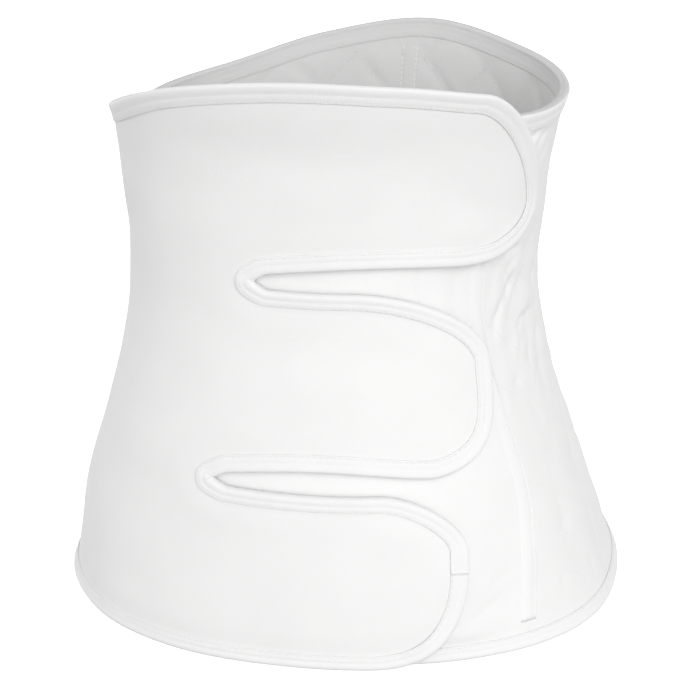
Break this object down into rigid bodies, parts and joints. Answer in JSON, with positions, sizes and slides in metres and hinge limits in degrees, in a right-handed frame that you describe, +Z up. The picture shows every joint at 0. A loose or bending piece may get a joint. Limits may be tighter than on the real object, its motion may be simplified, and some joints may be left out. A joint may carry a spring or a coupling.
{
  "type": "abdominal binder",
  "caption": "Open hourglass belly wrap of white cloth: quilted back, smooth underlap and a lapped front panel with round-ended fastening tabs, edges bound in folded tape.",
  "frame": {"origin": "on the floor under the middle of the object's box, with the hem standing on the floor", "axes": "+Z up, the wearer's front faces -Y, the wearer's left is +X"},
  "size_m": [0.3052, 0.3016, 0.304],
  "materials": {
    "quilted_cloth": "matte quilted cotton",
    "smooth_cloth": "matte brushed knit",
    "tape": "matte folded tape",
    "hook_tape": "matte hook tape"
  },
  "bodies": {
    "root": {"back_panel": "quilted_cloth", "underlap_panel": "smooth_cloth", "front_panel": "smooth_cloth", "front_binding": "tape", "inner_binding": "tape", "side_stay": "smooth_cloth", "back_stay": "smooth_cloth", "hook_patch_bottom": "hook_tape", "hook_patch_middle": "hook_tape", "hook_patch_top": "hook_tape"}
  },
  "joints": []
}
